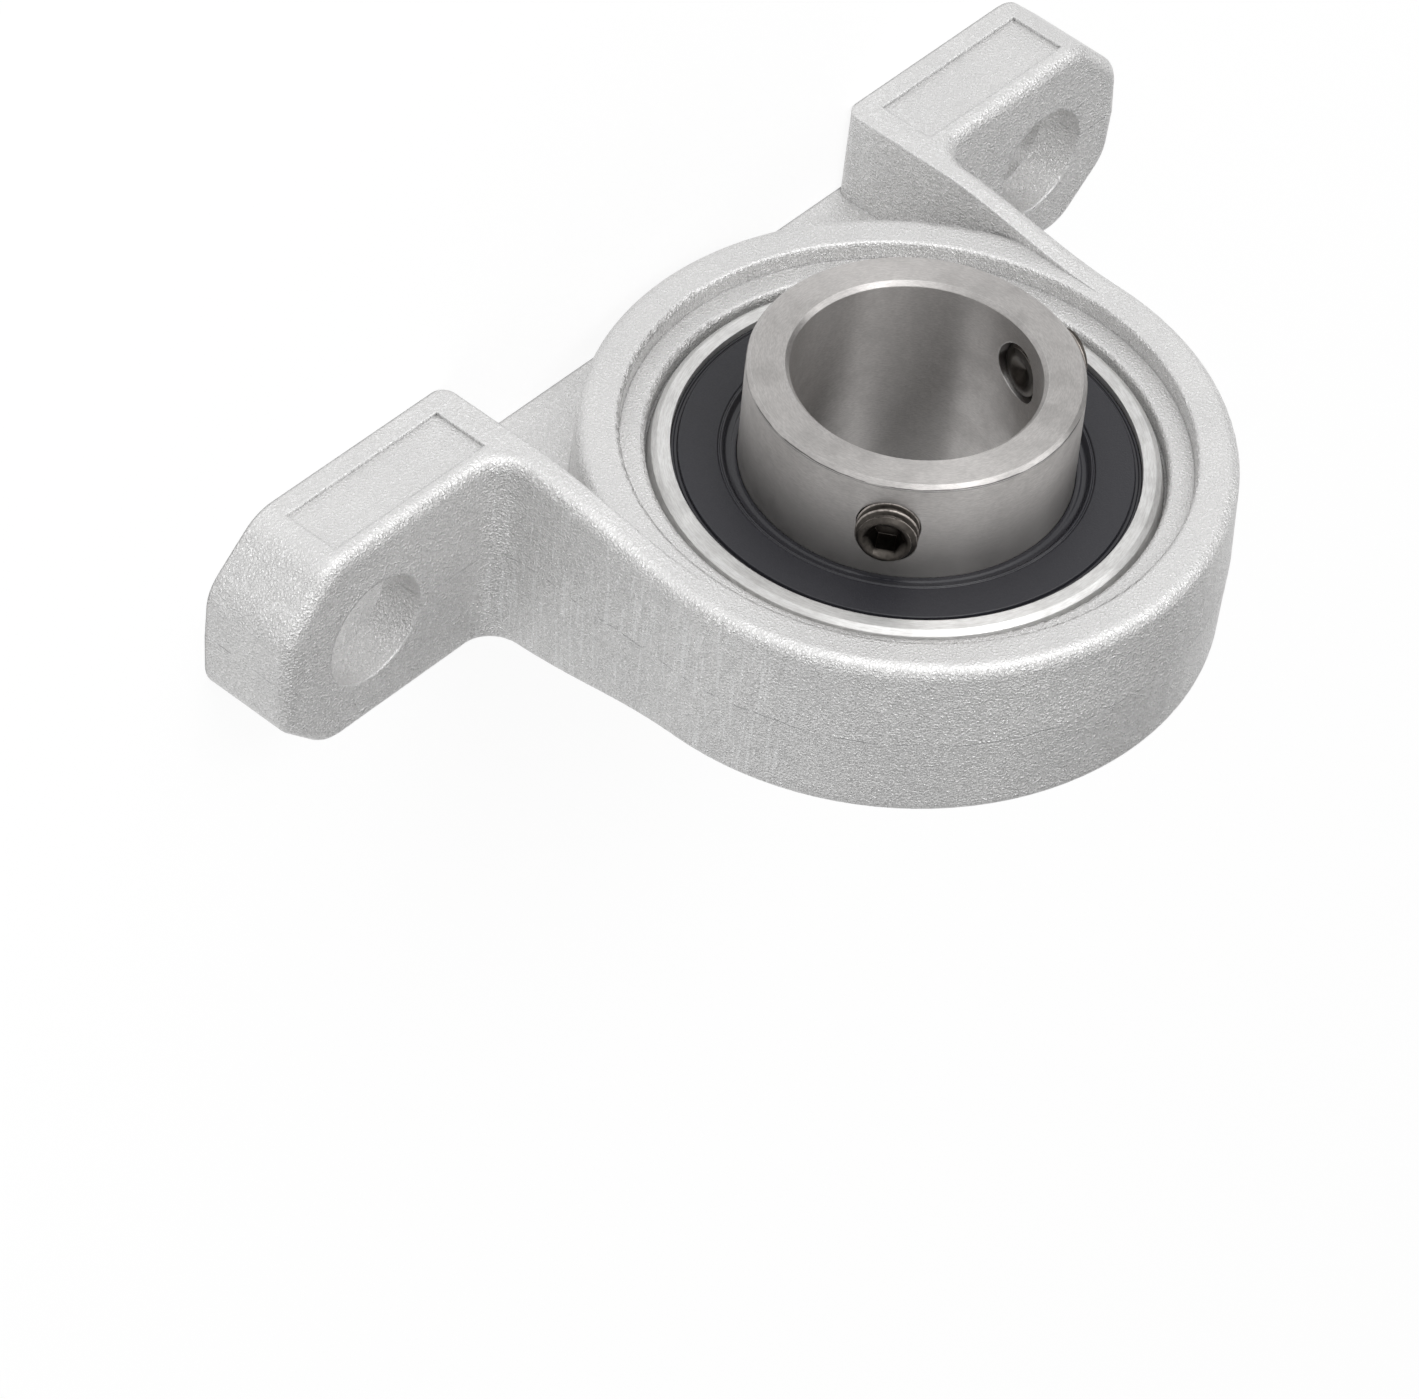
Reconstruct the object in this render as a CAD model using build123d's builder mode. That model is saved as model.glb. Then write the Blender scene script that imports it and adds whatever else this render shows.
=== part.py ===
from build123d import *

import os
from math import cos, radians, sin

# Pillow block bearing for a 20 mm shaft: a die-cast housing that bolts down by two feet,
# and a sealed ball bearing insert with a spherical outside that aligns itself in it.
# Millimetres, Z up. The origin lies on the mounting plane, straight below the middle of
# the bearing. X runs from foot to foot and Y along the shaft, with the set screws at -Y.

# Housing, the sizes that a catalogue gives
shaft_diameter = 20.0
shaft_height = 28.0
bolt_spacing = 80.0
bolt_end_distance = 10.0
bolt_hole_diameter = 10.0
foot_width = 19.6
foot_height = 8.8

# Housing, the shape of the casting
ring_wall = 3.7
ring_width = 15.6
recess_gap = 1.8
rib_setback = 0.8
rib_rise_gap = 1.0
web_thickness = 2.4
draft_angle = 2.0
end_chamfer = 5.0
end_corner_radius = 4.0
heel_radius = 2.4
toe_radius = 1.3
edge_radius = 1.1
soft_edge_radius = 0.4
recess_depth = 1.7
mouth_setback = 0.25
seat_width = 9.0

# Pocket under each foot, and the shallow blank panel on its front
foot_pocket_wall = 3.7
foot_pocket_heel_gap = 1.2
foot_pocket_depth = 4.8
foot_pocket_corner = 2.5
panel_margin = 1.8
panel_depth = 0.3

# Bearing insert, its walls and steps in order from the shaft outwards
inner_ring_wall = 3.4
pitch_rise = 2.1
shoulder_rise = 1.85
seal_seat_step = 1.35
insert_rim = 2.3

# Bearing insert, its widths, edges and balls
insert_width = 12.0
inner_ring_front = 15.0
bore_chamfer = 0.35
ring_chamfer = 0.35
ball_diameter = 6.35
ball_count = 9
race_conformity = 1.04

# Ball cage, pressed from two ribbons and riveted between the balls
cage_width = 2.2
cage_sheet = 0.4
rivet_diameter = 0.9
rivet_head_diameter = 1.5
rivet_head_height = 0.3

# Seals, rubber moulded on a steel plate
seal_thickness = 1.1
seal_inset = 0.3
seal_rim_width = 0.6
seal_rim_step = 0.35
seal_lip_width = 1.2
seal_lip_step = 0.4
plate_sheet = 0.3
plate_edge_gap = 0.8

# Set screws that lock the inner ring on the shaft
screw_diameter = 5.0
screw_length = 5.0
screw_socket_flats = 2.5
screw_socket_depth = 2.2
screw_chamfer = 0.45
screw_cup_diameter = 2.5
screw_cup_depth = 0.6
screw_from_front = 4.5
screw_tip_gap = 0.1
screw_first_angle = 33.0
screw_spacing_angle = 130.0

# Running and fitting clearances, each on the radius
seat_clearance = 0.03
loading_clearance = 0.15
ball_clearance = 0.03
cage_pocket_clearance = 0.12
lip_clearance = 0.03
rim_clearance = 0.03
rivet_clearance = 0.02
thread_clearance = 0.03

# Values that follow from those above
overrun = 5.0
close = 0.01
inner_ring_radius = shaft_diameter / 2 + inner_ring_wall
pitch_radius = inner_ring_radius + pitch_rise
shoulder_radius = pitch_radius + shoulder_rise
seal_radius = shoulder_radius + seal_seat_step
insert_radius = seal_radius + insert_rim
mouth_radius = insert_radius - mouth_setback
recess_radius = insert_radius + recess_gap
rib_inner_x = recess_radius + rib_setback
ring_radius = recess_radius + ring_wall
crown_height = shaft_height + ring_radius + overrun
foot_span = bolt_spacing + 2 * bolt_end_distance
ball_radius = ball_diameter / 2
race_radius = ball_radius * race_conformity
race_offset = race_radius - ball_radius - ball_clearance
cage_pocket_radius = ball_radius + cage_pocket_clearance
seal_outer_face = insert_width / 2 - seal_inset
seal_inner_face = seal_outer_face - seal_thickness
lip_radius = inner_ring_radius + lip_clearance
ball_step = 360 / ball_count
screw_along = screw_from_front - inner_ring_front
screw_angles = (screw_first_angle, screw_first_angle + screw_spacing_angle)
ends = {"front": -1, "back": 1}

# Plane through the shaft axis: its x is the radius and its y runs along the shaft
axis_point = (0, 0, shaft_height)
shaft_axis = Axis(axis_point, (0, 1, 0))
section = Plane(origin=axis_point, x_dir=(1, 0, 0), z_dir=(0, 0, 1))

os.makedirs("parts", exist_ok=True)


def finish(builder, name):
    """Label one finished piece and write it to its own file."""
    builder.part.label = name
    export_step(builder.part, f"parts/{name}.step")


def around(radius, along, angle):
    """The point at this radius and place along the shaft, turned about the shaft axis."""
    turn = radians(angle)
    return (radius * cos(turn), along, shaft_height + radius * sin(turn))


def radial_plane(radius, along, angle):
    """The plane through that point whose normal points away from the shaft axis."""
    turn = radians(angle)
    return Plane(origin=around(radius, along, angle), x_dir=(0, 1, 0), z_dir=(cos(turn), 0, sin(turn)))


def band(inner, outer, near, far, side, mode=Mode.ADD):
    """In a section sketch, the rectangle between two radii and two distances along the shaft."""
    with Locations(((inner + outer) / 2, side * (near + far) / 2)):
        Rectangle(outer - inner, far - near, mode=mode)


def end_corners(builder):
    """The upright edges at the ends of the feet, but for the drafted ridge in the middle."""
    upright = builder.edges().filter_by(lambda e: abs((e % 0.5).Z) > 1 - close)
    return upright.filter_by(lambda e: abs(e.center().X) > ring_radius and abs(e.center().Y) > close)


# Front half of the ring that stands between the ribs, drafted and rounded at its edge
with BuildPart() as half_ring:
    with BuildSketch(Plane.XZ):
        with Locations((0, shaft_height)):
            Circle(ring_radius)
    extrude(amount=ring_width / 2, taper=draft_angle)
    fillet(half_ring.faces().sort_by(Axis.Y)[0].edges(), radius=edge_radius)

# Space at the front and the back, between the ribs and below the shaft axis. It leaves that
# ring standing, with a flat face, and a thin web behind the pockets.
with BuildPart() as pockets:
    with BuildSketch(Plane.XZ.offset(web_thickness / 2)):
        with Locations((0, shaft_height)):
            Rectangle(2 * rib_inner_x, shaft_height + overrun, align=(Align.CENTER, Align.MAX))
    extrude(amount=foot_width, taper=-draft_angle)
    add(half_ring.part, mode=Mode.SUBTRACT)
    mirror(about=Plane.XZ)

# Housing, one casting with both feet, two ribs and the ring that holds the insert
with BuildPart() as housing:
    # Front outline of ring, legs and feet, drawn past the mounting plane and cut off there
    with BuildSketch(Plane.XZ) as outline:
        with Locations((0, shaft_height)):
            Circle(ring_radius)
        with Locations((0, -overrun)):
            Rectangle(2 * ring_radius, shaft_height + overrun, align=(Align.CENTER, Align.MIN))
            Rectangle(foot_span, foot_height + overrun, align=(Align.CENTER, Align.MIN))
        heels = outline.vertices().filter_by(
            lambda v: abs(abs(v.X) - ring_radius) < close and abs(v.Y - foot_height) < close
        )
        fillet(heels, radius=heel_radius)
    extrude(amount=foot_width / 2, both=True, taper=draft_angle)
    split(bisect_by=Plane.XY, keep=Keep.TOP)

    # Side outline: full width at the feet, easing to the ring's width at the shaft axis
    with BuildSketch(Plane.YZ):
        with BuildLine():
            foot_side = Line((foot_width / 2, -overrun), (foot_width / 2, foot_height + rib_rise_gap))
            rise = Spline(foot_side @ 1, (ring_width / 2, shaft_height), tangents=((0, 1), (0, 1)))
            ring_side = Line(rise @ 1, (ring_width / 2, crown_height))
            Line(ring_side @ 1, (0, crown_height))
            Line((0, -overrun), foot_side @ 0)
            mirror(about=Plane.YZ)
        make_face()
    extrude(amount=foot_span, both=True, mode=Mode.INTERSECT)

    # Clipped corners at the ends of the feet, well rounded
    chamfer(end_corners(housing), length=end_chamfer)
    fillet(end_corners(housing), radius=end_corner_radius)

    # Rounded edges all round the front and the back, and over the ends of the feet
    rim_edges = housing.edges().filter_by(
        lambda e: e.center().Z > foot_height / 2 + close
        and abs(e.center().Y) > close
        and (abs(e.center().Y) > ring_width / 2 - close or abs(e.center().X) > foot_span / 2 - end_chamfer)
        and not (e.geom_type == GeomType.LINE and abs(e.center().X) < ring_radius)
    )
    fillet(rim_edges, radius=edge_radius)

    add(pockets.part, mode=Mode.SUBTRACT)

    # Recess around the insert at the front and at the back, and in it the mouth of the seat
    for radius, along in ((recess_radius, ring_width / 2 - recess_depth), (mouth_radius, seat_width / 2)):
        for end in (Plane.XZ, Plane.XZ.rotated((0, 0, 180))):
            with BuildSketch(end.offset(along)):
                with Locations((0, shaft_height)):
                    Circle(radius)
            extrude(amount=foot_width, mode=Mode.SUBTRACT)
        soft_rims = housing.edges().filter_by(GeomType.CIRCLE).filter_by(
            lambda e: abs(e.radius - radius) < close and abs(e.center().Y) > along + close
        )
        fillet(soft_rims, radius=soft_edge_radius)

    # Toes, the inner ends of the feet, rounded where they meet the mounting plane
    toes = housing.edges().filter_by(
        lambda e: e.center().Z < close and rib_inner_x - close < abs(e.center().X) < ring_radius
    )
    fillet(toes, radius=toe_radius)

    # Spherical seat, with two loading slots at the back: the insert goes in edgewise there
    # and is then turned into line
    with Locations(axis_point):
        Sphere(insert_radius + seat_clearance, mode=Mode.SUBTRACT)
    with BuildSketch(Plane.XZ):
        with Locations((0, shaft_height)):
            Circle(insert_radius + loading_clearance)
            Rectangle(foot_span, insert_width + 2 * loading_clearance, mode=Mode.INTERSECT)
    extrude(amount=-foot_width, mode=Mode.SUBTRACT)

    for side in (-1, 1):
        # Pocket under the foot, then the bolt hole through what is left above it
        pocket_end = foot_span / 2 - foot_pocket_wall
        pocket_heel = ring_radius + foot_pocket_heel_gap
        with BuildSketch(Plane.XY) as foot_pocket:
            with Locations((side * (pocket_end + pocket_heel) / 2, 0)):
                Rectangle(pocket_end - pocket_heel, foot_width - 2 * foot_pocket_wall)
            outer_corners = foot_pocket.vertices().filter_by(lambda v: abs(v.X) > pocket_end - close)
            fillet(outer_corners, radius=foot_pocket_corner)
        extrude(amount=foot_pocket_depth, taper=draft_angle, mode=Mode.SUBTRACT)
        with Locations((side * bolt_spacing / 2, 0, foot_height)):
            Hole(bolt_hole_diameter / 2)

        # Blank panel on the front of the foot
        panel_start = ring_radius
        panel_end = foot_span / 2 - end_chamfer - panel_margin
        with BuildSketch(Plane.XZ.offset(foot_width / 2 - panel_depth)):
            with Locations((side * (panel_start + panel_end) / 2, foot_height / 2)):
                Rectangle(panel_end - panel_start, foot_height - 2 * panel_margin)
        extrude(amount=foot_width, mode=Mode.SUBTRACT)
finish(housing, "housing")

# Outer ring: spherical outside, a deep groove for the balls and a step for each seal
with BuildPart() as outer_ring:
    with BuildSketch(section) as outer_section:
        Circle(insert_radius)
        with Locations((shoulder_radius, 0)):
            Rectangle(insert_radius, insert_width, align=(Align.MIN, Align.CENTER), mode=Mode.INTERSECT)
        rims = outer_section.vertices().filter_by(
            lambda v: abs(v.Y) > insert_width / 2 - close and v.X > seal_radius
        )
        chamfer(rims, length=ring_chamfer)
        for side in ends.values():
            band(0, seal_radius + rim_clearance, seal_inner_face, insert_width, side, Mode.SUBTRACT)
        with Locations((pitch_radius - race_offset, 0)):
            Circle(race_radius, mode=Mode.SUBTRACT)
    revolve(axis=shaft_axis)
finish(outer_ring, "outer_ring")

# Inner ring: longer at the front, where two set screws go through it to the shaft
with BuildPart() as inner_ring:
    with BuildSketch(section) as inner_section:
        with Locations((shaft_diameter / 2, -inner_ring_front)):
            Rectangle(
                inner_ring_radius - shaft_diameter / 2,
                inner_ring_front + insert_width / 2,
                align=Align.MIN,
            )
        bore_ends = inner_section.vertices().group_by(Axis.X)[0]
        rims = inner_section.vertices().group_by(Axis.X)[-1]
        chamfer(bore_ends, length=bore_chamfer)
        chamfer(rims, length=ring_chamfer)
        with Locations((pitch_radius + race_offset, 0)):
            Circle(race_radius, mode=Mode.SUBTRACT)
    revolve(axis=shaft_axis)
    for angle in screw_angles:
        with BuildSketch(radial_plane(0, screw_along, angle)):
            Circle(screw_diameter / 2 + thread_clearance)
        extrude(amount=insert_radius, mode=Mode.SUBTRACT)
finish(inner_ring, "inner_ring")

# Balls, evenly spaced
ball_points = [around(pitch_radius, 0, ball_step * index) for index in range(ball_count)]
for number, point in enumerate(ball_points, start=1):
    with BuildPart() as ball:
        with Locations(point):
            Sphere(ball_radius)
    finish(ball, f"ball_{number}")

# Cage: each half is a ribbon, cupped around every ball and flat between them
rivet_points = [around(pitch_radius, 0, ball_step * (index + 0.5)) for index in range(ball_count)]
cage_inner = pitch_radius - cage_width / 2
cage_outer = pitch_radius + cage_width / 2
for end, side in ends.items():
    with BuildPart() as cage_half:
        with BuildSketch(section):
            band(cage_inner, cage_outer, 0, cage_sheet, side)
        revolve(axis=shaft_axis)
        with Locations(*ball_points):
            Sphere(cage_pocket_radius + cage_sheet)
        with BuildSketch(section):
            band(cage_inner, cage_outer, 0, insert_width, side)
        revolve(axis=shaft_axis, mode=Mode.INTERSECT)
        with Locations(*ball_points):
            Sphere(cage_pocket_radius, mode=Mode.SUBTRACT)
        with Locations(*rivet_points):
            Cylinder(
                rivet_diameter / 2 + rivet_clearance,
                insert_width,
                rotation=(90, 0, 0),
                mode=Mode.SUBTRACT,
            )
    finish(cage_half, f"cage_{end}")

with BuildPart() as cage_rivets:
    with Locations(*rivet_points):
        Cylinder(rivet_diameter / 2, 2 * cage_sheet, rotation=(90, 0, 0))
    for side in ends.values():
        head_along = side * (cage_sheet + rivet_head_height / 2)
        with Locations(*[(x, head_along, z) for x, y, z in rivet_points]):
            Cylinder(rivet_head_diameter / 2, rivet_head_height, rotation=(90, 0, 0))
finish(cage_rivets, "cage_rivets")

# Seals: a rubber washer with a stepped rim and lip, and the steel plate behind it
plate_inner = lip_radius + plate_edge_gap
plate_outer = seal_radius - plate_edge_gap
plate_face = seal_inner_face + plate_sheet
for end, side in ends.items():
    with BuildPart() as seal:
        with BuildSketch(section):
            band(lip_radius, seal_radius, seal_inner_face, seal_outer_face, side)
            band(
                seal_radius - seal_rim_width,
                seal_radius,
                seal_outer_face - seal_rim_step,
                seal_outer_face,
                side,
                Mode.SUBTRACT,
            )
            band(
                lip_radius,
                lip_radius + seal_lip_width,
                seal_outer_face - seal_lip_step,
                seal_outer_face,
                side,
                Mode.SUBTRACT,
            )
            band(plate_inner, plate_outer, seal_inner_face, plate_face, side, Mode.SUBTRACT)
        revolve(axis=shaft_axis)
    finish(seal, f"seal_{end}")

    with BuildPart() as seal_plate:
        with BuildSketch(section):
            band(plate_inner, plate_outer, seal_inner_face, plate_face, side)
        revolve(axis=shaft_axis)
    finish(seal_plate, f"seal_{end}_plate")

# Set screws: headless, with a hexagon socket outside and a cup point towards the shaft
for number, angle in enumerate(screw_angles, start=1):
    tip_radius = shaft_diameter / 2 + screw_tip_gap
    tip = radial_plane(tip_radius, screw_along, angle)
    with BuildPart() as set_screw:
        with BuildSketch(tip):
            Circle(screw_diameter / 2)
        extrude(amount=screw_length)
        chamfer(set_screw.edges(), length=screw_chamfer)
        with BuildSketch(tip.offset(screw_length)):
            RegularPolygon(screw_socket_flats / 2, side_count=6, major_radius=False)
        extrude(amount=-screw_socket_depth, mode=Mode.SUBTRACT)
        with BuildSketch(tip):
            Circle(screw_cup_diameter / 2)
        extrude(amount=screw_cup_depth, taper=45, mode=Mode.SUBTRACT)
    finish(set_screw, f"set_screw_{number}")
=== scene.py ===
# %% [markdown]
# # A pillow block bearing
# This part holds a 20 mm shaft above a machine frame. A die-cast housing stands on two
# feet, and a ball bearing insert sits in it like an eye in its socket, so that it can turn
# a few degrees to follow a shaft that isn't quite in line.
#
# The solids come ready made from the CAD model, at their real size and in their real
# place. What is left for Blender is the finish of every surface, the small soft and
# threaded shapes that a solid modeller leaves plain, the light and the camera. Blender
# works in metres, so every length below is in metres.

import math

import bpy
from mathutils import Matrix, Vector


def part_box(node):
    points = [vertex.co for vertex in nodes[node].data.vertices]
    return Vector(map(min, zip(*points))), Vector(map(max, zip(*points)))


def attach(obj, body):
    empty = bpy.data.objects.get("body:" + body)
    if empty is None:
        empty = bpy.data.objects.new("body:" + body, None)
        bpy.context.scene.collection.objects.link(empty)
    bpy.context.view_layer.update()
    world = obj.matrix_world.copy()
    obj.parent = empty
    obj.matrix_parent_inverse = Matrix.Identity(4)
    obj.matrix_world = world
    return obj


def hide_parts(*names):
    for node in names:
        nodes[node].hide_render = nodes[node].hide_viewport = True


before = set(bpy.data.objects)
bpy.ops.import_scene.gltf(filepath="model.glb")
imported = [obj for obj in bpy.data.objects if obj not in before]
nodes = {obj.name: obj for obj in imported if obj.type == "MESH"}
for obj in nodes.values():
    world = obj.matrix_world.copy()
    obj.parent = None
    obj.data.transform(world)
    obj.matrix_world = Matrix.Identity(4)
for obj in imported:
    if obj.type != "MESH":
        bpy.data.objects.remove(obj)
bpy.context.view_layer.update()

# %% [markdown]
# ## Measures taken from the frame
# Every place on the part is worked out from the solids' own boxes. The outer ring is
# round about the shaft, so the middle of its box is the middle of the bearing. Reading
# places this way means that a change of the CAD model carries through to the looks.

# %% Measures
MM = 0.001


def middle(node):
    """The middle of a node's box."""
    low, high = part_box(node)
    return (low + high) / 2


bearing = middle("outer_ring")
inner_low, inner_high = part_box("inner_ring")
housing_low, housing_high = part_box("housing")
inner_ring_radius = (inner_high.x - inner_low.x) / 2
ring_radius = housing_high.z - bearing.z
print("shaft height", round(bearing.z / MM, 2), "mm, ring radius", round(ring_radius / MM, 2), "mm")

# %% [markdown]
# ## Wiring nodes
# A procedural material is a graph of nodes. Writing each node out by hand takes five or
# six lines, so a few helpers do the wiring. `add` makes a node and fills its inputs, each
# with a plain value or with a link from another node's output.

# %% Wiring helpers


def fill(material, socket, value):
    """Give an input a plain value, or a link where the value is another node's output."""
    if isinstance(value, bpy.types.NodeSocket):
        material.node_tree.links.new(value, socket)
    elif socket.type == "RGBA" and len(value) == 3:
        socket.default_value = (*value, 1)
    else:
        socket.default_value = value


def add(material, kind, inputs=None, **settings):
    """A new node with these inputs, by name or by number."""
    node = material.node_tree.nodes.new(kind)
    for name, value in settings.items():
        setattr(node, name, value)
    for name, value in (inputs or {}).items():
        fill(material, node.inputs[name], value)
    return node


def start_material(name, colour, metallic, roughness):
    """A Principled material with its plain values set on the shader, and its coordinates."""
    material = bpy.data.materials.new(name)
    material.use_nodes = True
    shader = material.node_tree.nodes["Principled BSDF"]
    fill(material, shader.inputs["Base Color"], colour)
    fill(material, shader.inputs["Metallic"], metallic)
    fill(material, shader.inputs["Roughness"], roughness)
    where = add(material, "ShaderNodeTexCoord").outputs["Object"]
    return material, shader, where


print("wiring helpers ready")

# %% [markdown]
# ## Masks and patterns
# A finish is built up like paint: a colour, and another mixed over it where a mask says
# so. A mask is a value from 0 to 1 at each point. It comes from a pattern, such as a soft
# noise, or from a measure, such as a distance, and `between` makes either into a mask
# with soft limits. Patterns are read in metres, so a grain has the same real size on
# every piece.

# %% Pattern helpers


def maths(material, operation, *values, clamp=False):
    """The result of one Math node."""
    node = add(material, "ShaderNodeMath", dict(enumerate(values)), operation=operation, use_clamp=clamp)
    return node.outputs["Value"]


def times(material, first, second):
    """The product of two values, such as two masks."""
    return maths(material, "MULTIPLY", first, second)


def apart(material, first, second):
    """How far two values are from each other."""
    return maths(material, "ABSOLUTE", maths(material, "SUBTRACT", first, second))


def between(material, value, low, high, start=0.0, end=1.0):
    """start where the value is below low, end where it is above high, smooth in between."""
    inputs = {"Value": value, "From Min": low, "From Max": high, "To Min": start, "To Max": end}
    return add(material, "ShaderNodeMapRange", inputs, interpolation_type="SMOOTHSTEP").outputs["Result"]


def mix(material, share, first, second):
    """Two colours mixed by a share from 0 to 1."""
    return add(material, "ShaderNodeMix", {0: share, 6: first, 7: second}, data_type="RGBA").outputs[2]


def noise(material, where, size, detail=2.0, roughness=0.5):
    """Soft noise whose features are about this size."""
    inputs = {"Vector": where, "Scale": 1 / size, "Detail": detail, "Roughness": roughness}
    return add(material, "ShaderNodeTexNoise", inputs).outputs["Fac"]


def stretched(material, where, along_x, along_y, along_z):
    """The same place with each axis scaled, which draws a pattern out along an axis."""
    inputs = {"Vector": where, "Scale": (along_x, along_y, along_z)}
    return add(material, "ShaderNodeMapping", inputs).outputs["Vector"]


def vector_of(material, x, y, z=0.0):
    """Three values as one vector."""
    return add(material, "ShaderNodeCombineXYZ", {"X": x, "Y": y, "Z": z}).outputs["Vector"]


def length(material, vector):
    """The length of a vector."""
    return add(material, "ShaderNodeVectorMath", {0: vector}, operation="LENGTH").outputs["Value"]


def bump(material, height, depth, below=None):
    """A bump of this depth in metres, laid over another normal where one is given."""
    inputs = {"Height": height, "Distance": depth}
    if below is not None:
        inputs["Normal"] = below
    return add(material, "ShaderNodeBump", inputs).outputs["Normal"]


print("pattern helpers ready")

# %% [markdown]
# ## Places on the object, as seen by a material
# Several finishes depend on where a point is: turned lines run round the shaft, and the
# parting line of the casting runs round its middle. The Object coordinates of a CAD solid
# are its place in the frame, in metres, and they stay with the piece when it moves. From
# them this helper works out the distance from the shaft axis, the place along it and the
# angle round it.

# %% Round the shaft


def round_the_shaft(material, where):
    """Distance from the shaft axis, place along it and angle round it, for each point."""
    parts = add(material, "ShaderNodeSeparateXYZ", {"Vector": where}).outputs
    upward = maths(material, "SUBTRACT", parts["Z"], bearing.z)
    radius = length(material, vector_of(material, parts["X"], upward))
    angle = maths(material, "ARCTAN2", upward, parts["X"])
    return radius, parts["Y"], angle


print("shaft axis at height", round(bearing.z / MM, 2), "mm")

# %% [markdown]
# ## Painted highlights on edges and painted shade in corners
# Outer edges can be painted paler than the flats, as a highlight, and inner corners darker,
# as shade. Both could be painted on each piece by hand, but two nodes find them on any
# mesh. The Bevel node gives the normal that a rounded edge would have, so an edge is where
# that differs from the true normal. The Ambient Occlusion node says how much open air a
# point sees, and in an inner corner that is little. What counts as an inner corner is left
# out of the edges.

# %% Edges and corners
# How alike two normals are: 1 for the same direction, 0 for a right angle
SAME_WAY = 0.99
TURNED_AWAY = 0.88
# How much of the air round a point is open
OPEN_AIR = 0.8
SHUT_IN = 0.45
# How many rays either node sends out to find that
RAYS = 6


def inner_corner(material, width):
    """A mask of the inner corners, about this wide."""
    air = add(material, "ShaderNodeAmbientOcclusion", {"Distance": width}, samples=RAYS)
    return between(material, air.outputs["AO"], OPEN_AIR, SHUT_IN)


def outer_edge(material, width, corner):
    """A normal rounded over this width, and a mask of the edges that are no corner."""
    soft = add(material, "ShaderNodeBevel", {"Radius": width}, samples=RAYS).outputs["Normal"]
    true = add(material, "ShaderNodeNewGeometry").outputs["Normal"]
    same = add(material, "ShaderNodeVectorMath", {0: soft, 1: true}, operation="DOT_PRODUCT")
    edge = between(material, same.outputs["Value"], SAME_WAY, TURNED_AWAY)
    no_corner = maths(material, "SUBTRACT", 1.0, corner, clamp=True)
    return soft, times(material, edge, no_corner)


print("edge and corner masks ready")

# %% [markdown]
# ## The cast alloy: its skin
# The housing is die-cast and then blasted with fine grit, which leaves a pale, matt and
# slightly sparkling skin. Under a lens it is a field of dents about a fifth of a
# millimetre wide. As real dents they would need millions of faces, so one noise of that
# size does the work: it dents the surface with a bump, it darkens small winding pits, and
# it makes the high spots paler and shinier. The pits wind because they lie where the
# noise passes through one level, which is a winding line on any surface.
#
# The walls that run along the shaft get deeper dents than the faces across it. The faces
# across the shaft also get fewer dark pits, so they are painted lighter than the walls:
# that is painted light. A slower noise thins the pits out here and there, because an even
# field of them looks like leather.

# %% Blasted skin
ALLOY = (0.82, 0.815, 0.81)
PIT_GREY = (0.45, 0.445, 0.44)
PEAK_WHITE = (0.93, 0.925, 0.92)
CLOUD_GREY = (0.55, 0.55, 0.555)
GRAIN = 0.19 * MM
SCATTER = 0.9 * MM
CLOUD = 7 * MM
PIT_LEVEL = 0.46
PIT_SPAN = 0.045
LIT_FACE_PIT_SHARE = 0.35
FEWEST_PITS = 0.35
CLOUD_SHARE = 0.12
# How far a surface turns towards the shaft's direction: 0 for a wall, 1 for a face
STILL_WALL = 0.6
FULLY_FACE = 0.95


def wall_or_face(material, on_wall, on_face):
    """One value on walls that run along the shaft, and another on faces across it."""
    normal = add(material, "ShaderNodeTexCoord").outputs["Normal"]
    along = add(material, "ShaderNodeSeparateXYZ", {"Vector": normal}).outputs["Y"]
    along = maths(material, "ABSOLUTE", along)
    return between(material, along, STILL_WALL, FULLY_FACE, on_wall, on_face)


def blasted_skin(material, where):
    """The colour of the skin, and the grain that dents it."""
    inputs = {"Vector": where, "Scale": 1 / GRAIN, "Detail": 2.5, "Distortion": 0.5}
    grain = add(material, "ShaderNodeTexNoise", inputs).outputs["Fac"]
    pits = between(material, apart(material, grain, PIT_LEVEL), PIT_SPAN, 0.0)
    # Faces across the shaft get fewer dark pits, so they come out lighter: painted light.
    pits = times(material, pits, wall_or_face(material, 1, LIT_FACE_PIT_SHARE))
    scattered = noise(material, where, SCATTER)
    pits = times(material, pits, between(material, scattered, 0.35, 0.6, FEWEST_PITS, 1))
    colour = mix(material, pits, ALLOY, PIT_GREY)
    colour = mix(material, between(material, grain, 0.55, 0.66), colour, PEAK_WHITE)
    cloud = noise(material, where, CLOUD)
    colour = mix(material, between(material, cloud, 0.3, 0.7, 0, CLOUD_SHARE), colour, CLOUD_GREY)
    return colour, grain


print("blasted skin with a grain of", round(GRAIN / MM, 2), "mm")

# %% [markdown]
# ## The cast alloy: marks of the die
# The two halves of the die meet in the middle of the housing's width. They leave a thin
# line there, broken into dashes and wandering a little to either side. The casting is
# then pushed out along the shaft, which draws fine streaks in that direction where each
# leg comes down on its foot.
#
# Both marks could be modelled, but neither stands up more than a hair's breadth, so each
# is a mask that is worked out from the place on the part.

# %% Drag marks and parting line
DRAG_WIDTH = 0.28 * MM
DRAG_STRETCH = 0.04
DRAG_REACH = 5 * MM
PARTING_WIDTH = 0.08 * MM
PARTING_WANDER = 0.6 * MM
WANDER_ARC = 0.2
DASH = 2.2 * MM
DASH_DARK = (0.4, 0.4, 0.405)
DASH_BRIGHT = (0.9, 0.9, 0.9)


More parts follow.
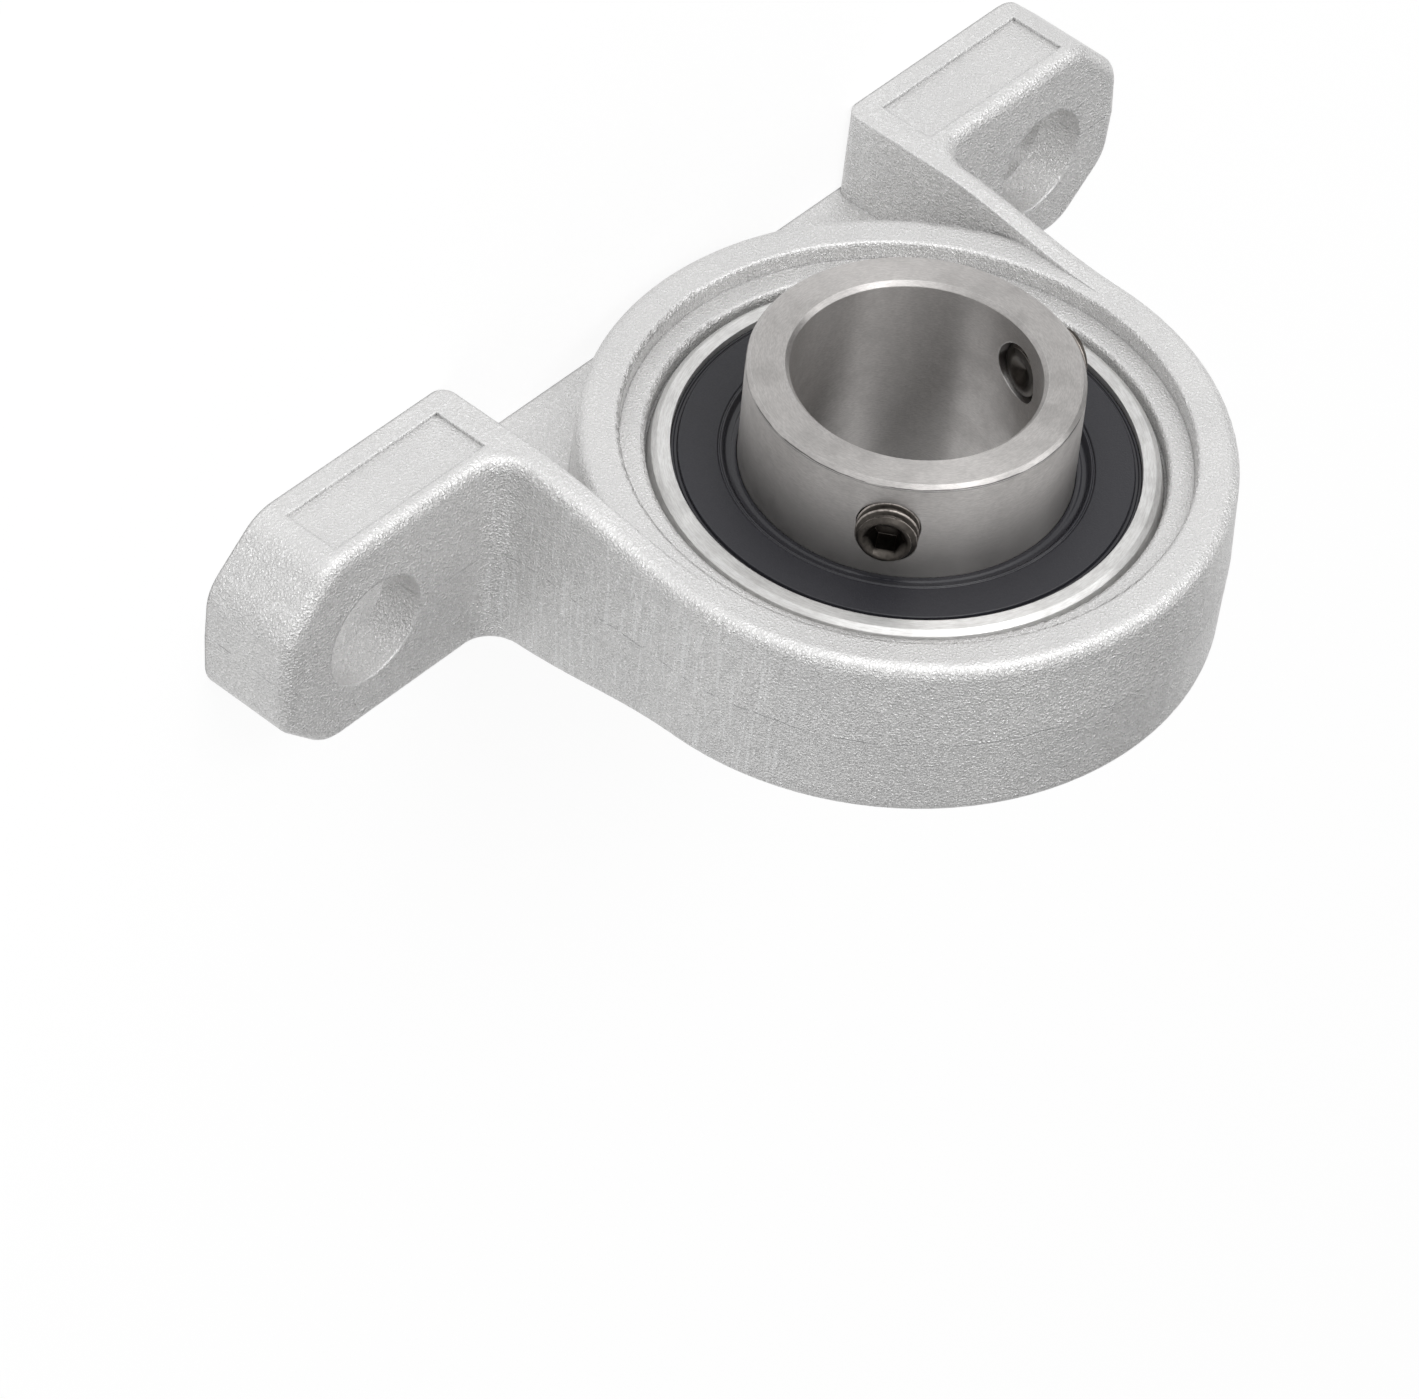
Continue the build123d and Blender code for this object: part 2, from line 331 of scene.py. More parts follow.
def drag_marks(material, where):
    """A mask of streaks along the shaft, at the ring's radius to either side of it."""
    streak = noise(material, stretched(material, where, 1, DRAG_STRETCH, 1), DRAG_WIDTH)
    across = add(material, "ShaderNodeSeparateXYZ", {"Vector": where}).outputs["X"]
    from_heel = apart(material, maths(material, "ABSOLUTE", across), ring_radius)
    near_heel = between(material, from_heel, DRAG_REACH, 0.2 * DRAG_REACH)
    return times(material, between(material, streak, 0.54, 0.66), near_heel)


def parting_line(material, where):
    """A mask of the parting line, on the outside of the ring and beyond, and its colour."""
    radius, along, angle = round_the_shaft(material, where)
    wander = noise(material, vector_of(material, angle, radius), WANDER_ARC)
    moved = maths(material, "MULTIPLY_ADD", wander, 2 * PARTING_WANDER, along)
    off_line = apart(material, moved, PARTING_WANDER)
    line = between(material, off_line, PARTING_WIDTH, 0.3 * PARTING_WIDTH)
    outside = between(material, radius, 0.94 * ring_radius, 0.96 * ring_radius)
    dashes = noise(material, where, DASH)
    broken = between(material, dashes, 0.44, 0.56)
    line = times(material, line, times(material, broken, outside))
    return line, mix(material, between(material, dashes, 0.6, 0.66), DASH_DARK, DASH_BRIGHT)


print("marks of the die ready")

# %% [markdown]
# ## The cast alloy as one finish
# The layers are mixed one over another, the widest first: the skin, the drag marks and
# the parting line. The painted highlight on the outer edges and the painted shade in the
# inner corners come last. The alloy is mostly metal, but a blasted skin scatters much of
# its light, so the shader isn't set to pure metal.

# %% Cast alloy
ALLOY_EDGE = 0.28 * MM
ALLOY_CORNER = 0.35 * MM
DRAG_SHARE = 0.6
PARTING_SHARE = 0.8
EDGE_HIGHLIGHT_SHARE = 0.6
CORNER_SHADE_SHARE = 0.5
DRAG_WHITE = (0.95, 0.95, 0.95)
EDGE_HIGHLIGHT_WHITE = (0.92, 0.92, 0.92)
CORNER_SHADE_GREY = (0.14, 0.14, 0.14)
WALL_DENTS = 0.26 * MM
FACE_DENTS = 0.1 * MM
PARTING_DEPTH = 0.05 * MM
DENT_ROUGHNESS = 0.42
PEAK_ROUGHNESS = 0.24


def cast_alloy():
    """The finish of the housing."""
    material, shader, where = start_material("cast_alloy", ALLOY, metallic=0.72, roughness=0.36)
    colour, grain = blasted_skin(material, where)
    drag = drag_marks(material, where)
    colour = mix(material, times(material, drag, DRAG_SHARE), colour, DRAG_WHITE)
    line, line_colour = parting_line(material, where)
    colour = mix(material, times(material, line, PARTING_SHARE), colour, line_colour)
    corner = inner_corner(material, ALLOY_CORNER)
    soft, edge = outer_edge(material, ALLOY_EDGE, corner)
    # Painted highlight: the outer edges are made paler than the flats.
    colour = mix(material, times(material, edge, EDGE_HIGHLIGHT_SHARE), colour, EDGE_HIGHLIGHT_WHITE)
    # Painted shade: the inner corners are made darker.
    colour = mix(material, times(material, corner, CORNER_SHADE_SHARE), colour, CORNER_SHADE_GREY)
    fill(material, shader.inputs["Base Color"], colour)
    rough = between(material, grain, 0.4, 0.66, DENT_ROUGHNESS, PEAK_ROUGHNESS)
    fill(material, shader.inputs["Roughness"], rough)
    dents = bump(material, grain, wall_or_face(material, WALL_DENTS, FACE_DENTS), soft)
    fill(material, shader.inputs["Normal"], bump(material, line, -PARTING_DEPTH, dents))
    return material


housing_finish = cast_alloy()
print("cast alloy, made of", len(housing_finish.node_tree.nodes), "nodes")

# %% [markdown]
# ## Marks on the collar
# The inner ring stands out of the housing as a collar. The chamfer at its end is bright,
# and below it the tool left a burr, which shows as two thin and ragged dark lines. Towards
# the seal the steel is made darker. All of these lie on the outside of the collar, so each
# mask is cut off a little below that radius.

# %% Collar marks
AT_RIM = 0.38 * MM
BELOW_RIM = 0.45 * MM
DARKER_FROM_END = 1.5 * MM
DARKER_SHARE = 0.9
BURR_LINES = ((0.34 * MM, 0.9), (0.48 * MM, 0.6))
BURR_WIDTH = 0.05 * MM
BURR_WANDER = 0.08 * MM
BURR_GRAIN = 0.5 * MM


def collar_marks(material, radius, along, place):
    """A mask that darkens the steel towards the seal, and one for each line of burr, by its distance from
    the end.
    """
    at_rim = between(material, radius, inner_ring_radius - BELOW_RIM, inner_ring_radius - AT_RIM)
    seal_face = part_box("seal_front")[0].y
    near_seal = between(material, along, inner_low.y + DARKER_FROM_END, seal_face, 0, DARKER_SHARE)
    ragged = noise(material, place, BURR_GRAIN, 3, 0.6)
    moved = maths(material, "MULTIPLY_ADD", ragged, 2 * BURR_WANDER, along)
    burrs = []
    for from_end, weight in BURR_LINES:
        off_line = apart(material, moved, inner_low.y + from_end + BURR_WANDER)
        burr = times(material, between(material, off_line, BURR_WIDTH, 0.4 * BURR_WIDTH), at_rim)
        burrs.append(times(material, burr, between(material, ragged, 0.35, 0.5, 0.3, weight)))
    return times(material, near_seal, at_rim), burrs


print("collar marks with", len(BURR_LINES), "lines of burr")

# %% [markdown]
# ## The bearing steel
# Both rings are turned and ground. A ground ring is covered with very fine lines that all
# run round the shaft, and these spread each highlight across the lines. A picture of
# brushed metal would have to be bent round each ring. Here an anisotropic shader has its
# direction run round the shaft instead, and a noise is read by radius, by place along the
# shaft and by an arc that is much too short, which draws lines round every face alike.
#
# Faint stains and a few bright specks break up the lines. The inner ring is the darker
# one, and it alone gets the marks of the collar.

# %% Bearing steel
OUTER_STEEL = (0.88, 0.87, 0.855)
INNER_STEEL = (0.56, 0.542, 0.53)
EDGE_HIGHLIGHT_STEEL = (0.86, 0.85, 0.84)
SPECK_BRIGHT = (0.85, 0.84, 0.83)
BURR_DARK = (0.12, 0.115, 0.115)
STEEL_ROUGHNESS = 0.42
ANISOTROPY = 0.8
QUARTER_TURN = 0.25
STAIN = 2.6 * MM
STAIN_SHARE = 0.32
SPECK = 0.3 * MM
SHORT_ARC = 2 * MM
LINE_DEPTH = 0.012 * MM
SPECK_DEPTH = 0.005 * MM
BURR_DEPTH = 0.03 * MM
STEEL_EDGE = 0.12 * MM
STEEL_CORNER = 0.2 * MM


def shade(colour, share):
    """The same colour, darker or lighter by this share, and never quite white."""
    return tuple(min(share * part, 0.95) for part in colour)


def turned_steel(name, colour, line_width, collar=False):
    """Steel turned with lines of this width, with or without the marks of the collar."""
    material, shader, where = start_material(name, colour, 1.0, STEEL_ROUGHNESS)
    radius, along, angle = round_the_shaft(material, where)
    place = vector_of(material, radius, along, times(material, angle, SHORT_ARC))
    soft, edge = outer_edge(material, STEEL_EDGE, inner_corner(material, STEEL_CORNER))
    lines = noise(material, place, line_width, 3, 0.65)
    cloud = noise(material, where, STAIN, 3, 0.6)
    specks = noise(material, stretched(material, where, 1, 2.5, 1), SPECK, 3, 0.7)

    darker_steel = shade(colour, 0.6)
    tint = mix(material, between(material, lines, 0.3, 0.7), shade(colour, 0.86), shade(colour, 1.1))
    tint = mix(material, between(material, cloud, 0.42, 0.7, 0, STAIN_SHARE), tint, darker_steel)
    tint = mix(material, between(material, specks, 0.72, 0.8, 0, 0.1), tint, SPECK_BRIGHT)
    # Painted highlight: the outer edges of the steel are made paler.
    tint = mix(material, times(material, edge, EDGE_HIGHLIGHT_SHARE), tint, EDGE_HIGHLIGHT_STEEL)
    normal = bump(material, lines, LINE_DEPTH, soft)
    normal = bump(material, specks, SPECK_DEPTH, normal)
    if collar:
        near_seal, burrs = collar_marks(material, radius, along, place)
        # The steel is made darker towards the seal.
        tint = mix(material, near_seal, tint, darker_steel)
        for burr in burrs:
            tint = mix(material, burr, tint, BURR_DARK)
            normal = bump(material, burr, -BURR_DEPTH, normal)

    rough = between(material, cloud, 0.3, 0.7, 0.96 * STEEL_ROUGHNESS, 1.05 * STEEL_ROUGHNESS)
    fill(material, shader.inputs["Base Color"], tint)
    fill(material, shader.inputs["Roughness"], rough)
    fill(material, shader.inputs["Normal"], normal)
    shader.inputs["Anisotropic"].default_value = ANISOTROPY
    shader.inputs["Anisotropic Rotation"].default_value = QUARTER_TURN
    tangent = add(material, "ShaderNodeTangent", direction_type="RADIAL", axis="Y")
    fill(material, shader.inputs["Tangent"], tangent.outputs["Tangent"])
    return material


outer_ring_finish = turned_steel("outer_ring_steel", OUTER_STEEL, line_width=0.09 * MM)
inner_ring_finish = turned_steel("inner_ring_steel", INNER_STEEL, line_width=0.07 * MM, collar=True)
print("steel of the rings:", outer_ring_finish.name, "and", inner_ring_finish.name)

# %% [markdown]
# ## Give the casting and the rings their finish
# A carried-over CAD solid keeps its mesh. It only gets a better material in its slot.

# %% Dress the casting and the rings


def dress(node, finish):
    """Put a finish in every slot of a CAD solid."""
    for slot in nodes[node].material_slots:
        slot.material = finish
    print("dressed", node, "with", finish.name)


dress("housing", housing_finish)
dress("outer_ring", outer_ring_finish)
dress("inner_ring", inner_ring_finish)

# %% [markdown]
# ## Balls, cage and plates
# These sit behind the seals, and show only in a cut-away or when a seal is taken off. The
# balls are lapped to a mirror, with no more than a breath of oil on them. The cage is
# pressed from sheet, so its fine lines follow the rolling of the sheet, and the seal
# plates are cut from the same kind of sheet. One noise each is enough for pieces that are
# seen so rarely.

# %% Inner pieces
OIL = 1.5 * MM
OILED_STEEL = (0.66, 0.66, 0.65)
DRY_STEEL = (0.78, 0.78, 0.78)
ROLLED_LINE = 0.12 * MM
ROLLED_STRETCH = 0.08
ROLLED_DEPTH = 0.01 * MM
SHEET_DARK = (0.46, 0.45, 0.43)
SHEET_BRIGHT = (0.62, 0.61, 0.6)


def ball_steel():
    """The finish of the balls."""
    material, shader, where = start_material("ball_steel", (0.72, 0.72, 0.72), 1.0, 0.06)
    oil = noise(material, where, OIL, 3)
    fill(material, shader.inputs["Roughness"], between(material, oil, 0.4, 0.7, 0.04, 0.14))
    fill(material, shader.inputs["Base Color"], mix(material, oil, OILED_STEEL, DRY_STEEL))
    return material


def pressed_steel():
    """The finish of the cage, its rivets and the plates in the seals."""
    material, shader, where = start_material("pressed_steel", (0.55, 0.54, 0.52), 1.0, 0.35)
    rolled = noise(material, stretched(material, where, ROLLED_STRETCH, 1, 1), ROLLED_LINE, 3)
    fill(material, shader.inputs["Base Color"], mix(material, rolled, SHEET_DARK, SHEET_BRIGHT))
    fill(material, shader.inputs["Roughness"], between(material, rolled, 0.3, 0.7, 0.28, 0.42))
    fill(material, shader.inputs["Normal"], bump(material, rolled, ROLLED_DEPTH))
    return material


ball_finish = ball_steel()
sheet_finish = pressed_steel()
for node in nodes:
    if node.startswith("ball_"):
        dress(node, ball_finish)
    if node.startswith("cage_") or node.endswith("_plate"):
        dress(node, sheet_finish)

# %% [markdown]
# ## Turning a profile into a ring
# A seal is round, so it can be made the way a lathe makes things: draw half a section,
# and carry it once round the axis. Blender has a Screw modifier for this, but a mesh made
# directly needs no clean-up and lies where it belongs from the start.
#
# Moulded rubber has no sharp corners. `softened` takes each corner of the section and
# puts a few points of a small curve in its place.

# %% Lathe helpers


def softened(corners, size, steps=4):
    """The closed outline with each corner rounded back by this size along both sides."""
    outline = []
    for index, corner in enumerate(corners):
        before = Vector(corners[index - 1]) - Vector(corner)
        after = Vector(corners[(index + 1) % len(corners)]) - Vector(corner)
        reach = min(size, before.length / 2.01, after.length / 2.01)
        start = Vector(corner) + before.normalized() * reach
        end = Vector(corner) + after.normalized() * reach
        for step in range(steps + 1):
            share = step / steps
            first = start.lerp(Vector(corner), share)
            second = Vector(corner).lerp(end, share)
            outline.append(first.lerp(second, share))
    return outline


def mesh_object(name, points, faces, body, place=Matrix.Identity(4), sharp=40):
    """A smooth mesh object, put in its place in the frame and riding on a body."""
    mesh = bpy.data.meshes.new(name)
    mesh.from_pydata(points, [], faces)
    mesh.validate()
    mesh.shade_smooth()
    mesh.set_sharp_from_angle(angle=math.radians(sharp))
    piece = bpy.data.objects.new(name, mesh)
    piece.matrix_world = place
    bpy.context.scene.collection.objects.link(piece)
    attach(piece, body)
    return piece


def turned(name, outline, body, segments=180):
    """A ring: the closed outline of radius and place along the shaft, carried round it."""
    points = []
    for segment in range(segments):
        turn = 2 * math.pi * segment / segments
        for radius, along in outline:
            points.append((bearing.x + radius * math.cos(turn), along, bearing.z + radius * math.sin(turn)))
    count = len(outline)
    faces = []
    for segment in range(segments):
        here = segment * count
        there = (segment + 1) % segments * count
        for index in range(count):
            after = (index + 1) % count
            faces.append((here + index, here + after, there + after, there + index))
    return mesh_object(name, points, faces, body)


print("lathe helpers ready")

# %% [markdown]
# ## The section of a seal
# Each seal is a rubber washer moulded round a steel plate. Its rim snaps into a step of
# the outer ring, and its lip rubs on the inner ring. Seen from outside, a shallow groove
# with a low bead in it runs round the rim. The lip lies a little lower than the flat of
# the seal, with a rounded shoulder between them that catches the light as a thin glossy
# arc, and a fine groove is moulded beside that shoulder.
#
# The CAD solid has the same rim, lip and flat, but sharp. So the section is drawn afresh
# between the corners of that solid's box, and both seals share it, mirrored.

# %% Seal section
SEAL_RIM = 0.6 * MM
SEAL_RIM_STEP = 0.35 * MM
SEAL_RIM_DRAFT = 0.05 * MM
SEAL_LIP = 1.2 * MM
SEAL_LIP_STEP = 0.4 * MM
LIP_GAP = 0.03 * MM
LIP_BEAD = 0.12 * MM
FINE_GROOVE = 0.12 * MM
PLATE_SHEET = 0.3 * MM
RUBBER_ROUND = 0.1 * MM


def seal_outline(node):
    """Section of a seal, from the boxes of the seal and of the plate behind it."""
    low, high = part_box(node)
    side = 1 if low.y > bearing.y else -1
    outer_face = high.y if side > 0 else low.y
    inner_face = low.y if side > 0 else high.y
    rim = high.x - bearing.x
    plate_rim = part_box(node + "_plate")[1].x - bearing.x
    lip = inner_ring_radius + LIP_GAP
    plate_hole = lip + rim - plate_rim
    groove = outer_face - side * SEAL_RIM_STEP
    low_lip = outer_face - side * SEAL_LIP_STEP
    fine_groove = outer_face - side * FINE_GROOVE
    plate_back = inner_face + side * PLATE_SHEET
    corners = [
        (lip, inner_face),
        (lip, low_lip + side * LIP_BEAD),
        (lip + 0.3 * SEAL_LIP, low_lip + side * LIP_BEAD),
        (lip + 0.45 * SEAL_LIP, low_lip),
        (lip + 0.75 * SEAL_LIP, low_lip),
        (lip + SEAL_LIP, outer_face),
        (lip + SEAL_LIP + 1.0 * FINE_GROOVE, outer_face),
        (lip + SEAL_LIP + 1.5 * FINE_GROOVE, fine_groove),
        (lip + SEAL_LIP + 2.5 * FINE_GROOVE, fine_groove),
        (lip + SEAL_LIP + 3.0 * FINE_GROOVE, outer_face),
        (rim - SEAL_RIM, outer_face),
        (rim - SEAL_RIM + SEAL_RIM_DRAFT, groove),
        (rim - 0.5 * SEAL_RIM, groove),
        (rim - 0.4 * SEAL_RIM, groove + side * FINE_GROOVE),
        (rim - 0.1 * SEAL_RIM, groove + side * FINE_GROOVE),
        (rim, groove),
        (rim, inner_face),
        (plate_rim, inner_face),
        (plate_rim, plate_back),
        (plate_hole, plate_back),
        (plate_hole, inner_face),
    ]
    return softened(corners, RUBBER_ROUND)


print("seal section with", len(seal_outline("seal_front")), "points")

# %% [markdown]
# ## The rubber
# The moulded face of a seal has a fine satin texture. The lip and the rim are smoother,
# because polished parts of the mould make them. The same mask could change the colour,
# but black rubber shows a smoother place only by its shine, so the mask goes into the
# roughness alone.

# %% Seals
RUBBER_GRAIN = 0.14 * MM
RUBBER_CLOUD = 4 * MM
RUBBER_DARK = (0.021, 0.021, 0.026)
RUBBER_PALE = (0.034, 0.034, 0.042)
RUBBER_DUSTY = (0.026, 0.026, 0.032)
RUBBER_DEPTH = 0.02 * MM
POLISHED_TO = 0.2 * MM
POLISH_GONE = 0.5 * MM
RIM_FADE = 0.1 * MM
SMOOTHER = 0.4


def seal_rubber():
    """The finish of the seals."""
    material, shader, where = start_material("seal_rubber", (0.02, 0.02, 0.023), 0.0, 0.5)
    radius = round_the_shaft(material, where)[0]
    skin = noise(material, where, RUBBER_GRAIN, 3, 0.6)
    cloud = noise(material, where, RUBBER_CLOUD)
    colour = mix(material, skin, RUBBER_DARK, RUBBER_PALE)
    fill(material, shader.inputs["Base Color"], mix(material, cloud, colour, RUBBER_DUSTY))
    lip_edge = inner_ring_radius + SEAL_LIP
    lip = between(material, radius, lip_edge + POLISH_GONE, lip_edge + POLISHED_TO)
    rim_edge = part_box("seal_front")[1].x - bearing.x - SEAL_RIM
    rim = between(material, radius, rim_edge - RIM_FADE, rim_edge)
    polished = maths(material, "MAXIMUM", lip, rim)
    rough = between(material, skin, 0.3, 0.7, 0.44, 0.6)
    rough = maths(material, "MULTIPLY_ADD", polished, -SMOOTHER, rough, clamp=True)
    fill(material, shader.inputs["Roughness"], rough)
    fill(material, shader.inputs["Normal"], bump(material, skin, RUBBER_DEPTH))
    return material


rubber_finish = seal_rubber()
for node in ("seal_front", "seal_back"):
    seal = turned(node + "_rubber", seal_outline(node), "outer_race")
    seal.data.materials.append(rubber_finish)
    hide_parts(node)
    print("turned", seal.name, "with", len(seal.data.vertices), "points")

# %% [markdown]
# ## The shape of the set screws
# Two headless screws lock the inner ring on the shaft. A thread could be swept along a
# helix and cut from a bar, but such a cut leaves an untidy mesh. A screw is nearly a
# cylinder, so it can be a stack of rings whose radius changes with the angle: for the
# thread, the radius rises and falls with the height, and the whole pattern climbs by one
# pitch for each turn. The same idea makes the socket, because a hexagon is only a radius
# that changes with the angle. So one grid of points holds thread, socket and cup point.

# %% Thread and socket
SCREW_RADIUS = 2.5 * MM
SCREW_LENGTH = 5.0 * MM
SCREW_PITCH = 0.8 * MM
THREAD_DEPTH = 0.44 * MM
SCREW_CHAMFER = 0.4 * MM
SOCKET_FLATS = 2.5 * MM
SOCKET_DEPTH = 2.2 * MM
MOUTH_RADIUS = 1.72 * MM
MOUTH_DROP = 0.04 * MM
CUP_RADIUS = 1.25 * MM
CUP_DEPTH = 0.6 * MM
CUP_DROP = 0.03 * MM
EDGE_FLAT = 0.06 * MM
CENTRE_RADIUS = 0.02 * MM
HEXAGON_SHARES = (0.2, 0.24, 1.0)
DRILL_RADIUS = 0.6 * SOCKET_FLATS / 2
DRILL_DEPTH = 1.15 * SOCKET_DEPTH
ROOT_SHARE = 0.3
FLANK_SHARE = 0.62
EASED_SHARE = 0.35
BELOW_ROOT = 0.02 * MM
SIDES = 96
STEPS_TO_A_PITCH = 16


def thread_radius(height, turn):
    """Radius of the thread, with a narrow crest and a wide flat root."""
    phase = (height / SCREW_PITCH - turn / (2 * math.pi)) % 1.0
    rise = 1 - abs(2 * phase - 1)
    flank = min(max((rise - ROOT_SHARE) / FLANK_SHARE, 0), 1)
    eased = flank * flank * (3 - 2 * flank)
    height_share = EASED_SHARE * eased + (1 - EASED_SHARE) * flank
    return SCREW_RADIUS - THREAD_DEPTH * (1 - height_share)


def side_radius(height, turn):
    """Radius of the outside: the thread, cut back by a chamfer at both ends."""
    from_end = min(height, SCREW_LENGTH - height)
    cut = SCREW_RADIUS - THREAD_DEPTH - BELOW_ROOT + from_end * THREAD_DEPTH / SCREW_CHAMFER
    return min(thread_radius(height, turn), cut)


def hexagon_radius(turn):
    """Radius of the socket's wall, in the direction of this angle."""
    sixth = math.pi / 3
    return SOCKET_FLATS / 2 / math.cos((turn + sixth / 2) % sixth - sixth / 2)


def round_ring(radius, height):
    """A plain round ring: its radius in any direction, and its height."""
    return (lambda turn: radius), height


def screw_rings():
    """The rings of the screw, from the cup point up the outside and down into the socket."""
    rings = [
        round_ring(CENTRE_RADIUS, CUP_DEPTH),
        round_ring(0.5 * CUP_RADIUS, 0.5 * CUP_DEPTH),
        round_ring(CUP_RADIUS, CUP_DROP),
        round_ring(CUP_RADIUS + EDGE_FLAT, 0.0),
    ]
    steps = round(SCREW_LENGTH / SCREW_PITCH * STEPS_TO_A_PITCH)
    for step in range(steps + 1):
        height = SCREW_LENGTH * step / steps
        rings.append((lambda turn, h=height: side_radius(h, turn), height))
    rings.append(round_ring(MOUTH_RADIUS + EDGE_FLAT, SCREW_LENGTH))
    rings.append(round_ring(MOUTH_RADIUS, SCREW_LENGTH - MOUTH_DROP))
    for share in HEXAGON_SHARES:
        rings.append((hexagon_radius, SCREW_LENGTH - share * SOCKET_DEPTH))
    rings.append(round_ring(DRILL_RADIUS, SCREW_LENGTH - SOCKET_DEPTH))
    rings.append(round_ring(CENTRE_RADIUS, SCREW_LENGTH - DRILL_DEPTH))
    return rings


print("screw rings", len(screw_rings()))

# %% [markdown]
# ## Black oxide
# The screws are blackened, and the black is rubbed off where anything touches them. The
# screw keeps its own coordinates, in which the thread's crests are the points that lie
# furthest from Z, so a mask of that distance shows the steel there. A patchy noise keeps
# the rubbing uneven. The edges, those of the socket too, are made paler as a painted
# highlight.

# %% Black oxide
OXIDE_DARK = (0.035, 0.031, 0.028)
OXIDE_BROWN = (0.1, 0.09, 0.08)
BARE_STEEL = (0.46, 0.42, 0.39)
PATCH = 0.35 * MM
CREST = 0.14 * MM
BARE_CREST = 0.04 * MM
SCREW_EDGE = 0.07 * MM
SCREW_CORNER = 0.12 * MM
OXIDE_DEPTH = 0.012 * MM


def black_oxide():
    """The finish of the set screws."""
    material, shader, where = start_material("black_oxide_steel", (0.03, 0.03, 0.031), 1.0, 0.35)
    radius = length(material, stretched(material, where, 1, 1, 0))
    patchy = noise(material, where, PATCH, 3, 0.6)
    soft, edge = outer_edge(material, SCREW_EDGE, inner_corner(material, SCREW_CORNER))
    crest = between(material, radius, SCREW_RADIUS - CREST, SCREW_RADIUS - BARE_CREST)
    bare_crest_and_edge_highlight = times(material, crest, between(material, patchy, 0.3, 0.6, 0.35, 1))
    # The crests are bared steel from wear; the edges are made paler as a painted highlight.
    bare_crest_and_edge_highlight = maths(material, "MAXIMUM", bare_crest_and_edge_highlight, times(material, edge, 0.8))
    coat = mix(material, patchy, OXIDE_DARK, OXIDE_BROWN)
    fill(material, shader.inputs["Base Color"], mix(material, bare_crest_and_edge_highlight, coat, BARE_STEEL))
    fill(material, shader.inputs["Roughness"], between(material, patchy, 0.3, 0.7, 0.28, 0.42))
    fill(material, shader.inputs["Normal"], bump(material, patchy, OXIDE_DEPTH, soft))
    return material


oxide_finish = black_oxide()
print("black oxide, made of", len(oxide_finish.node_tree.nodes), "nodes")

# %% [markdown]
# ## Putting the screws in
# The screw is built along its own Z axis and then placed. Its CAD solid is a plain bar on
# the same axis, so the middle of that solid's box gives the direction from the shaft and
# the distance. Each screw rides on a body of its own, because it can be screwed out.

# %% Set screws


def screw_place(node):
    """Where the cup point goes, with Z pointing away from the shaft."""
    centre = middle(node)
    outward = Vector((centre.x - bearing.x, 0, centre.z - bearing.z)).normalized()
    spin = outward.to_track_quat("Z", "Y").to_matrix().to_4x4()
    return Matrix.Translation(centre - outward * SCREW_LENGTH / 2) @ spin


def set_screw(node, finish):
    """One threaded screw in the place of its plain solid."""
    points = []
    rings = screw_rings()
    for radius_at, height in rings:
        for side in range(SIDES):
            turn = 2 * math.pi * side / SIDES
            radius = radius_at(turn)
            points.append((radius * math.cos(turn), radius * math.sin(turn), height))
    faces = [tuple(range(SIDES))]
    top = (len(rings) - 1) * SIDES
    for low in range(0, top, SIDES):
        for side in range(SIDES):
            after = (side + 1) % SIDES
            faces.append((low + side, low + SIDES + side, low + SIDES + after, low + after))
    faces.append(tuple(top + side for side in reversed(range(SIDES))))
    screw = mesh_object(node + "_threaded", points, faces, node, screw_place(node), sharp=50)
    screw.data.materials.append(finish)
    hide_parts(node)
    print("cut", screw.name, "with", len(points), "points")


for node in ("set_screw_1", "set_screw_2"):
    set_screw(node, oxide_finish)

# %% [markdown]
# ## White surroundings
# The object is photographed on white, under soft light from the front, which is the side
# that the set screws are on. A white world does most of that work. A real white room has
# one brightness, but a Light Path node can tell rays apart and give each kind its own.
# The camera sees full white. Polished metal mirrors a little less than that, so that it
# doesn't burn out. What only carries light gets the least, so that pale metal keeps its
# shape.

# %% White world
scene = bpy.context.scene
scene.view_settings.view_transform = "Standard"
LIGHTING_SHARE = 0.55
MIRRORED_SHARE = 0.9

world = bpy.data.worlds.new("studio")
world.use_nodes = True
scene.world = world
background = world.node_tree.nodes["Background"]
background.inputs["Color"].default_value = (1, 1, 1, 1)


def mirror_ray(holder):
    """1 for a ray that something shiny throws back, and 0 for any other."""
    return add(holder, "ShaderNodeLightPath").outputs["Is Glossy Ray"]


def seen_ray(holder):
    """1 for a camera, mirror or glass ray, and 0 for a ray that only carries light."""
    ray = add(holder, "ShaderNodeLightPath").outputs
    seen = maths(holder, "MAXIMUM", ray["Is Camera Ray"], ray["Is Glossy Ray"])
    return maths(holder, "MAXIMUM", seen, ray["Is Transmission Ray"])


seen_white = between(world, mirror_ray(world), 0, 1, 1, MIRRORED_SHARE)
lighting = between(world, seen_ray(world), 0, 1, LIGHTING_SHARE, seen_white)
fill(world, background.inputs["Strength"], lighting)
print("white world:", MIRRORED_SHARE, "for mirrors and", LIGHTING_SHARE, "as light")

# %% [markdown]
# ## The floor
# To the camera and to mirrors the floor is white too, because most of it glows. The rest
# is a plain matt surface, so that it still takes the object's shadow. To light that falls
# on the floor it is all matt, and so it sends back only what it gets.

# %% White floor
FLOOR_SIZE = 3.0
FLOOR_GREY = (0.9, 0.9, 0.9)
FLOOR_GLOW = 1.06
FLOOR_MIRRORED = 0.95
GLOWING_SHARE = 0.84


def plate(name, corners, material):
    """A flat four-cornered stage object."""
    mesh = bpy.data.meshes.new(name)
    mesh.from_pydata(corners, [], [(0, 1, 2, 3)])
    mesh.materials.append(material)
    piece = bpy.data.objects.new(name, mesh)
    scene.collection.objects.link(piece)
    return piece


